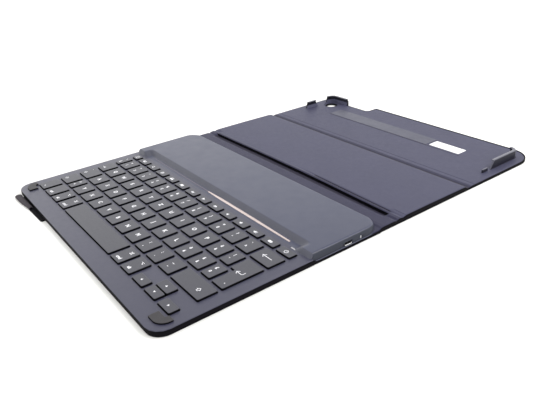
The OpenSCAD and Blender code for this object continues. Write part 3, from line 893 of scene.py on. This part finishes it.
def furrow(depth, middle, width):
    """A rounded furrow across the lining, 1 at its lowest line."""
    return math.exp(-((depth - middle) / width) ** 2)


def lining_height(x, depth):
    """Height of the lining; the groove and the ridge run out before the side edges."""
    z = along(HEIGHTS, depth)
    level = 3.9 + 0.5 * smooth((depth - 194) / 12)
    if 203.5 < depth < 210.5:
        z -= smooth((x - 5) / 60) * CREASE_DEEP * furrow(depth, CREASE_Y, 0.8)
    if 194 < depth < 209:
        side = level - (0.8 * furrow(depth, GROOVE_Y, 1.4) + 0.6 * furrow(depth, CREASE_Y + 0.1, 1.2))
        z += (side - z) * smooth((abs(x) - SIDE_X) / 4)
    return z


def lining_top(x, depth):
    return lining_height(x, depth) - edge_drop(LINING_HALF - abs(x), RIM_R)


def skin_edge(x, depth):
    """The skin stays thin under the lining and stands up along the side edges."""
    if abs(x) < LINING_HALF + 0.02:
        return SKIN_T
    return max(SKIN_T, lining_height(x, depth) - 0.45 - edge_drop(PANEL_HALF - abs(x), 0.25))


inner_columns = [129, 127, 125.5, 124, 122.5, 121, 119.8, 118.6, SIDE_X, 116.5, 113, 105, *range(90, -1, -15)]


def lining_columns(depth):
    right = [LINING_HALF - e for e in (0, 0.02, 0.1, 0.3, 0.6, 0.9, 1.2, 1.4)] + inner_columns
    return mirrored(right)


def skin_columns(depth):
    right = [PANEL_HALF - e for e in (0, 0.03, 0.12, 0.25)] + [LINING_HALF + 0.03, LINING_HALF] + [90, 45, 0]
    return mirrored(right)


def steps_between(start, end, size):
    count = max(1, round((end - start) / size))
    return [start + (end - start) * k / count for k in range(count + 1)]


spine_hinge = hinge_depth("fold_1_spine")
panel_hinge = hinge_depth("fold_2_lower_panel")
mid_hinge = hinge_depth("fold_3_upper_panel")
FOLD_REACH = 3.6
FOLD_1 = (BASE_REAR, spine_hinge + FOLD_REACH + 1.0)
FOLD_2 = (panel_hinge - FOLD_REACH, panel_hinge + FOLD_REACH)
FOLD_3 = (mid_hinge - 4.4, mid_hinge + 5.4)
STRIPS = [
    ("rear", (150, BASE_REAR), "base", None, 4),
    ("fold_1", FOLD_1, "base", "spine", 0.3),
    ("spine", (FOLD_1[1], FOLD_2[0]), "spine", None, 0.5),
    ("fold_2", FOLD_2, "spine", "lower_panel", 0.25),
    ("lower", (FOLD_2[1], FOLD_3[0]), "lower_panel", None, 0.5),
    ("fold_3", FOLD_3, "lower_panel", "upper_panel", 0.3),
]


# Depths where shade is painted into the fabric, and the x span along which the crease behind the ridge is
# painted dark
GROOVE = (197.5, 202.0)
RIDGE_FACE = (201.8, 202.2)
CREASE = (204.6, 206.6)
CREASE_X = (30, 119)
MID_FLOOR = (281.5, 285.6)
MID_FOLD = (279.4, 288)


def within(value, span):
    return span[0] < value < span[1]


def shade_folds(bm):
    """Painted shade: darker fabric low in the groove, along the crease and low in the middle fold, the
    spine's darker fabric over the rest of the middle fold, and a painted black shadow under the ridge.
    """
    for face in bm.faces:
        x, depth, z = (sum(v.co[axis] for v in face.verts) / len(face.verts) for axis in range(3))
        heights = [v.co.z for v in face.verts]
        if within(depth, RIDGE_FACE) and max(heights) - min(heights) > 0.5 and z < 4.4:
            face.material_index = 2
        elif within(depth, GROOVE) and z < 3.1 or within(depth, MID_FLOOR) and z < 2.6:
            face.material_index = 1
        elif within(depth, CREASE) and within(x, CREASE_X):
            face.material_index = 1
        elif within(depth, MID_FOLD):
            face.material_index = 3


def bend_ridge(bm):
    """The groove and the ridge run in a slight curve, furthest back in the middle."""
    for vert in bm.verts:
        bend = 1.2 - 2.2 * smooth((vert.co.x - 10) / 120) - 0.7 * smooth((-30 - vert.co.x) / 80)
        reach = smooth((vert.co.y - 199.5) / 2) * smooth((210 - vert.co.y) / 3)
        vert.co.y += bend * reach


def skin_under(x, depth):
    return edge_drop(PANEL_HALF - abs(x), 0.3)


REPLACED = {
    "lining_spine": ["spine_lining"], "lining_lower": ["lower_panel_lining"],
    "skin_spine": ["spine_skin"], "skin_lower": ["lower_panel_skin"],
}


def add_strip(kind, name, depths, body, other):
    """A length of the lining or the skin; one at a fold between two bodies is attached to neither."""
    start, end = depths[0], depths[-1]
    bm = bmesh.new()
    if kind == "lining":
        add_field(bm, depths, lining_columns, lining_top, lambda x, y: SKIN_T)
        shade_folds(bm)
        bend_ridge(bm)
        # The lining's later finishes paint shade in the groove, the crease, the middle fold and under the
        # ridge
        main = spine_and_fold_shade_fabric if start < FOLD_2[0] + 1 else inner_fabric
        finishes, slot = [main, groove_shade_fabric, gap_shadow_black, spine_and_fold_shade_fabric], "inner_lining"
    else:
        add_field(bm, depths, skin_columns, skin_edge, skin_under)
        finishes, slot = [outer_fabric], "outer_skin"
    name = f"{kind}_{name}"
    piece = finish_mesh(name, bm, finishes, None if other else body, REPLACED.get(name, []))
    if other:
        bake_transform(piece)


for name, (start, end), body, other, step in STRIPS:
    depths = sorted(set(steps_between(start, end, step)) | {d for d, _ in HEIGHTS if start < d < end})
    if name == "lower":
        depths = steps_between(start, 211, 0.3) + steps_between(211, 270, 6)[1:]
        depths += steps_between(270, end, 0.5)[1:]
    add_strip("lining", name, depths, body, other)
    if name != "rear":
        add_strip("skin", name, depths, body, other)

# Upper panel
UPPER_FRONT = FOLD_3[1]
SHEET_FRONT = 292
NOTCH = [(-62.5, FAR, 1.0), (-62.5, 366.3, 4.5), (-96.3, 366.3, 1.2), (-96.3, 369.0, 1.0), (-107.4, FAR, 0.8)]


def upper_corners(half):
    out = PANEL_HALF - half
    far = FAR - out
    notch = [(x, min(y, far), r) for x, y, r in NOTCH]
    return [(-half, UPPER_FRONT, 0.05), (half, UPPER_FRONT, 0.05), (half, far, FAR_R - out), *notch,
            (-half, far, FAR_R - out)]


ring = box_mm("camera_ring")
camera_x = (ring.x0 + ring.x1) / 2
camera_y = (ring.y0 + ring.y1) / 2
ring_r = (ring.x1 - ring.x0) / 2
DISH_R = ring_r + 1.7


def disc(r):
    return rectangle(camera_x - r, camera_y - r, camera_x + r, camera_y + r, r * 0.999)


bm = bmesh.new()
add_field(bm, steps_between(UPPER_FRONT, SHEET_FRONT, 0.5), lining_columns, lining_top, lambda x, y: SKIN_T)
finish_mesh("lining_upper_front", bm, [inner_fabric], "upper_panel", [])
bm = bmesh.new()
corners = upper_corners(LINING_HALF)
corners[0] = (-LINING_HALF, SHEET_FRONT, 0.05)
corners[1] = (LINING_HALF, SHEET_FRONT, 0.05)


def rim_height(level):
    """The rounded rim runs along the sides and the far edge, and not along the front of the sheet."""
    return lambda x, y: PANEL_Z if y < SHEET_FRONT + 1.6 and abs(x) < LINING_HALF - 1.3 else level


def rim_rings(radius, top, steps=4):
    rings = []
    for k in range(steps + 1):
        a = math.pi / 2 * k / steps
        rings.append((radius * (1 - math.cos(a)), rim_height(top - radius + radius * math.sin(a))))
    return rings


add_solid(bm, corners, [(0, SKIN_T), *rim_rings(RIM_R, PANEL_Z), (RIM_R + 0.2, PANEL_Z)], [disc(DISH_R)],
          [(0, SKIN_T), (0, PANEL_Z - 0.05), (-0.1, PANEL_Z), (-0.25, PANEL_Z)], steps=8)
finish_mesh("lining_upper", bm, [inner_fabric], "upper_panel", ["upper_panel_lining"])
bm = bmesh.new()
EDGE_Z = PANEL_Z + 0.35


def edge_level(by):
    """The skin's raised lip runs along the far edge and dies away down the sides."""
    return lambda x, y: (SKIN_T if y < UPPER_FRONT + 0.3 and abs(x) < PANEL_HALF - 1.5 else
                         EDGE_Z + by - 0.8 * (1 - smooth((y - FAR + FAR_R + 12) / 30)))


add_solid(bm, upper_corners(PANEL_HALF), [
    (0.3, 0), (0.08, 0.08), (0, 0.3), (0, edge_level(-0.25)), (0.1, edge_level(-0.07)), (0.3, edge_level(0)),
    (0.75, edge_level(0)), (0.95, edge_level(-0.12)), (1.0, edge_level(-0.4)), (1.02, SKIN_T),
], [disc(ring_r)], [(0, 0), (0, SKIN_T)], steps=8)
finish_mesh("skin_upper", bm, [outer_fabric], "upper_panel", ["upper_panel_skin"])

bm = bmesh.new()
DISH_Z = PANEL_Z - 0.75
dish = add_rings(bm, lambda inset: circle(camera_x, camera_y, DISH_R - inset, 48), [
    (-0.1, SKIN_T), (-0.1, PANEL_Z), (0.35, PANEL_Z - 0.12), (1.1, DISH_Z + 0.15), (1.8, DISH_Z),
    (1.8, SKIN_T)])
bezel = add_rings(bm, lambda inset: circle(camera_x, camera_y, ring_r - inset, 48), [
    (0, 0.05), (0, DISH_Z - 0.1), (0.12, DISH_Z + 0.1), (0.4, DISH_Z + 0.15), (0.9, DISH_Z),
    (1.3, DISH_Z - 0.5), (1.6, 0.05)])
for rings in (dish, bezel):
    for i in range(48):
        j = (i + 1) % 48
        bm.faces.new((rings[-1][i], rings[-1][j], rings[0][j], rings[0][i]))
for vert in (v for ring in bezel for v in ring):
    for face in vert.link_faces:
        face.material_index = 1
finish_mesh("camera_bezel", bm, [inner_fabric, dark_plastic], "upper_panel", ["camera_ring"])

for name, node, finish, corner, trim, slot in [
    ("sheen_band", "tray_band", band_finish, 0.6, 0, "inner_lining"),
    ("blank_label", "info_label", label_finish, 1.2, 0.9, "label_paper"),
]:
    box = box_mm(node)
    bm = bmesh.new()
    add_solid(bm, rectangle(box.x0 + trim, box.y0, box.x1 - trim, box.y1, corner),
              [(0, PANEL_Z - 0.1), *rounded_top(0, box.z1, 0.08, 2)])
    finish_mesh(name, bm, [finish], "upper_panel", [node])

# A low raised strip in front of the band, in the spine's darker fabric: painted shade along the band's front
# edge
bm = bmesh.new()
add_solid(bm, rectangle(-88.5, 331.6, 86.0, 332.9, 0.6),
          [(0, PANEL_Z - 0.1), *rounded_top(0, PANEL_Z + 0.06, 0.05, 2)])
finish_mesh("band_edge_shade", bm, [spine_and_fold_shade_fabric], "upper_panel", [])


# ---- Clips ----

CLIP_T = 1.5
CLIP_TOP = box_mm("clip_lips").z1
CLIP_OUT = box_mm("clip_walls").x1
CLIP_FAR = box_mm("clip_walls").y1
CLIP_NEAR = 326
CLIP_R = 8
LIP_REACH = 3.1
LEFT_CLIP_REAR = 342
LEFT_CLIP_NEAR = 357
RIGHT_LEAN = 0.65
LEFT_LEAN = 0.3
CLIP_FOOT = PANEL_Z - 0.6
LIP_R = 0.4
SEAM = 0.8


def clip_section(top):
    """Wall and inward lip, its upper edges rounded."""
    outer = [(0.5 - 0.5 * math.sin(a), top - 0.5 + 0.5 * math.cos(a)) for a in (0, 0.5, 1.0, 1.57)]
    lip = [(LIP_REACH - LIP_R + LIP_R * math.sin(a), top - 0.45 + LIP_R * math.cos(a))
           for a in (0, 0.8, 1.57, 2.4, 3.1)]
    return [(0.0, CLIP_FOOT), (CLIP_T, CLIP_FOOT), (CLIP_T, top - 1.2), (CLIP_T + 0.3, top - 0.9),
            *lip[::-1], *outer]


def clip_path(side, near, far_x):
    """Up one side from near, round the far corner and in to far_x; stops on the side when far_x is None."""
    end = LEFT_CLIP_REAR if far_x is None else CLIP_FAR - CLIP_R
    places = [((side * CLIP_OUT, d), (-side, 0)) for d in steps_between(near, end, 6)]
    if far_x is None:
        return places
    places += rear_corner(side, CLIP_OUT, CLIP_FAR, CLIP_R, [math.pi / 24 * k for k in range(1, 13)])
    places.append(((side * far_x, CLIP_FAR), (0, -1)))
    return places


# Side, near end, and where the far end stops along the far edge
CLIPS = [(1, CLIP_NEAR, 114.5), (-1, LEFT_CLIP_NEAR, 96.8), (-1, CLIP_NEAR, None)]
bm = bmesh.new()
for side, near, far_x in CLIPS:
    lean = (RIGHT_LEAN if side > 0 else LEFT_LEAN, 0 if far_x else -LEFT_LEAN)
    add_sweep(bm, clip_path(side, near, far_x), clip_section(CLIP_TOP), lean)
# The nub before the right clip is the lowest of the walls on that side
nub = min((b for b in solid_boxes("clip_walls") if b[0] > 0), key=lambda b: b[5])
add_solid(bm, rectangle(*nub[:4], 0.5), [(0, CLIP_FOOT), *rounded_top(0, nub[5], 0.5)])
bmesh.ops.recalc_face_normals(bm, faces=bm.faces)
# Painted shade: steep faces of the clips and the nub take the darker copy
for face in bm.faces:
    if face.normal.z < 0.5:
        face.material_index = 1
finish_mesh("corner_clips", bm, [clip_finish, clip_wall_shade_finish], "upper_panel", ["clip_walls", "clip_lips"])

# Painted shade round the clips' feet: a thin strip of the darker groove fabric on the lining
bm = bmesh.new()
for side, near, far_x in CLIPS:
    add_sweep(bm, clip_path(side, near - SEAM, far_x), [
        (-0.9, PANEL_Z - 0.1), (0.1, PANEL_Z - 0.1), (0.1, PANEL_Z + 0.1), (-SEAM, PANEL_Z + 0.05)])
finish_mesh("clip_foot_shade", bm, [groove_shade_fabric], "upper_panel", [])
# A cove of lining up the inner walls of the left clips, which paints the panel's reflection on the lower part
# of those walls
bm = bmesh.new()
for side, near, far_x in CLIPS[1:]:
    add_sweep(bm, clip_path(side, near, far_x), [
        (CLIP_T - 0.1, PANEL_Z - 0.1), (CLIP_T + 1.45, PANEL_Z - 0.1), (CLIP_T + 1.35, PANEL_Z + 0.1),
        (CLIP_T + 0.7, PANEL_Z + 1.2), (CLIP_T + 0.3, PANEL_Z + 2.6), (CLIP_T - 0.1, PANEL_Z + 3.0),
    ], (LEFT_LEAN, 0))
finish_mesh("clip_coves", bm, [inner_fabric], "upper_panel", [])


# ---- Closure flap ----

flap = box_mm("closure_flap")
ROLL_END_X = flap.x0 + 16
MOUTH_X = flap.x0 + 34
POCKET = 16
LOOP_Z = 2.26
LOOP_BACK = -0.9
LOOP_WALL = 0.5
LOOP_POINTS = 28
UNDER_LAP = 3


def flap_front(x):
    """How far the flap reaches: full at its left end, tapering to the right."""
    return along([(flap.x0, flap.y0 + 0.5), (ROLL_END_X, flap.y0 + 0.9), (MOUTH_X, -4.1), (flap.x1, -3.3)], x)


def loop_ring(bm, x, wall=0.0, shrink=0.0):
    """A rounded section of the rolled part, its points (depth, z) from a squarish ellipse."""
    front = flap_front(x)
    middle, half = (front + LOOP_BACK) / 2, (LOOP_BACK - front) / 2
    verts = []
    for k in range(LOOP_POINTS):
        angle = 2 * math.pi * k / LOOP_POINTS
        c, s = math.cos(angle), math.sin(angle)
        y = middle + (half - wall) * (1 - shrink) * math.copysign(abs(c) ** 0.7, c)
        z = LOOP_Z / 2 + 0.03 + (LOOP_Z / 2 - wall) * (1 - shrink * 0.6) * math.copysign(abs(s) ** 0.8, s)
        verts.append(bm.verts.new((x, y, z)))
    return verts


bm = bmesh.new()
closed_end = [(0.0, 0.8), (0.2, 0.5), (0.8, 0.2), (1.8, 0.06), (3.2, 0)]
rings = [loop_ring(bm, flap.x0 + e, 0, shrink) for e, shrink in closed_end]
rings += [loop_ring(bm, flap.x0 + e) for e in (8, 13, 18, 23, 28, 33.6)] + [loop_ring(bm, MOUTH_X, 0.08)]
rings += [loop_ring(bm, MOUTH_X, LOOP_WALL), loop_ring(bm, MOUTH_X - POCKET, LOOP_WALL)]
# Inside the pocket the loop takes the near-black skin fabric, as painted shade in its mouth
for a, b in zip(rings, rings[1:]):
    for i in range(LOOP_POINTS):
        j = (i + 1) % LOOP_POINTS
        face = bm.faces.new((a[i], a[j], b[j], b[i]))
        face.material_index = 1 if b is rings[-1] else 0
bm.faces.new(rings[0][::-1])
bm.faces.new(rings[-1]).material_index = 1
under_x = MOUTH_X - UNDER_LAP
under = [(under_x, flap_front(under_x) + 0.2, 0.4), (flap.x1, flap_front(flap.x1), 1.2),
         (flap.x1, LOOP_BACK - 0.4, 0.3), (under_x, LOOP_BACK - 0.4, 0.3)]
add_solid(bm, under, [(0.1, 0.02), (0, 0.15), *rounded_top(0, 0.8, 0.25)])
for face in bm.faces:
    if face.calc_center_median().x > MOUTH_X:
        face.material_index = 1
finish_mesh("flap_fold", bm, [flap_fabric, outer_fabric], "flap", ["closure_flap"])

# The flap's root runs on from the base's skin round the fold
ROOT = (LOOP_BACK - 1.8, 0.9)
bm = bmesh.new()
add_field(bm, steps_between(*ROOT, 0.3), lambda d: steps_between(flap.x0 + 6, flap.x1 + 0.5, 6),
          lambda x, y: 0.85, lambda x, y: 0.03)
root = finish_mesh("flap_root", bm, [outer_fabric], None, [])
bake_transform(root)


# ---- Floor, light and camera ----

floor_finish = surface("floor", (0.86, 0.855, 0.83), 0.9, mottle=0.01, mottle_mm=400, grain=0.02,
                       specular=0.2)
bm = bmesh.new()
bmesh.ops.create_grid(bm, x_segments=4, y_segments=4, size=4000)
floor = finish_mesh("floor", bm, [floor_finish])
floor.location.z = -0.00005

world = bpy.data.worlds.new("studio")
bpy.context.scene.world = world
world.use_nodes = True
sky_nodes = world.node_tree.nodes
sky_links = world.node_tree.links
sky_axes = sky_nodes.new("ShaderNodeSeparateXYZ")
sky_links.new(sky_nodes.new("ShaderNodeTexCoord").outputs["Generated"], sky_axes.inputs["Vector"])


def sky_ramp(axis, start, end, low, high, kind="LINEAR"):
    """Brightness of the sky as it changes along one axis."""
    ramp = sky_nodes.new("ShaderNodeMapRange")
    ramp.interpolation_type = kind
    for name, value in {"From Min": start, "From Max": end, "To Min": low, "To Max": high}.items():
        ramp.inputs[name].default_value = value
    sky_links.new(sky_axes.outputs[axis], ramp.inputs["Value"])
    return ramp.outputs["Result"]


# White backdrop near the horizon, dimmer overhead, and a little brighter towards the left
sky_level = math_node(world.node_tree, "MULTIPLY", sky_ramp("Z", 0.25, 0.75, 1.9, 1.1, "SMOOTHSTEP"),
                      sky_ramp("X", -0.95, -0.45, 1.22, 1.0))
sky_links.new(sky_level, sky_nodes["Background"].inputs["Strength"])
sky_nodes["Background"].inputs["Color"].default_value = (1, 1, 1, 1)


LIGHT_AT = Vector((0.55, 0.65, 1.1))
light_data = bpy.data.lights.new("key_softbox", "AREA")
light_data.shape = "RECTANGLE"
light_data.size = light_data.size_y = 0.5
light_data.energy = 9
light = bpy.data.objects.new("key_softbox", light_data)
bpy.context.scene.collection.objects.link(light)
light.location = LIGHT_AT
light.rotation_euler = (-LIGHT_AT).to_track_quat("-Z", "Y").to_euler()

# Camera place as x, depth and height in millimetres
CAMERA_AT = (377.19, -90.32, 211.80)
CAMERA_AZIMUTH, CAMERA_DOWN, CAMERA_ROLL = map(math.radians, (54.471, 26.969, -3.352))
forward = Vector((-math.sin(CAMERA_AZIMUTH) * math.cos(CAMERA_DOWN),
                  math.cos(CAMERA_AZIMUTH) * math.cos(CAMERA_DOWN), -math.sin(CAMERA_DOWN)))
level = Vector((math.cos(CAMERA_AZIMUTH), math.sin(CAMERA_AZIMUTH), 0))
upright = level.cross(forward)
right = level * math.cos(CAMERA_ROLL) + upright * math.sin(CAMERA_ROLL)
up = right.cross(forward)
camera_data = bpy.data.cameras.new("camera")
camera_data.lens = 38.37
camera_data.sensor_width = 36
camera_data.clip_start = 0.01
camera = bpy.data.objects.new("camera", camera_data)
bpy.context.scene.collection.objects.link(camera)
pose = Matrix((right, up, -forward)).transposed().to_4x4()
pose.translation = to_frame(*CAMERA_AT)
camera.matrix_world = pose
bpy.context.scene.camera = camera
bpy.context.scene.view_settings.view_transform = "Standard"
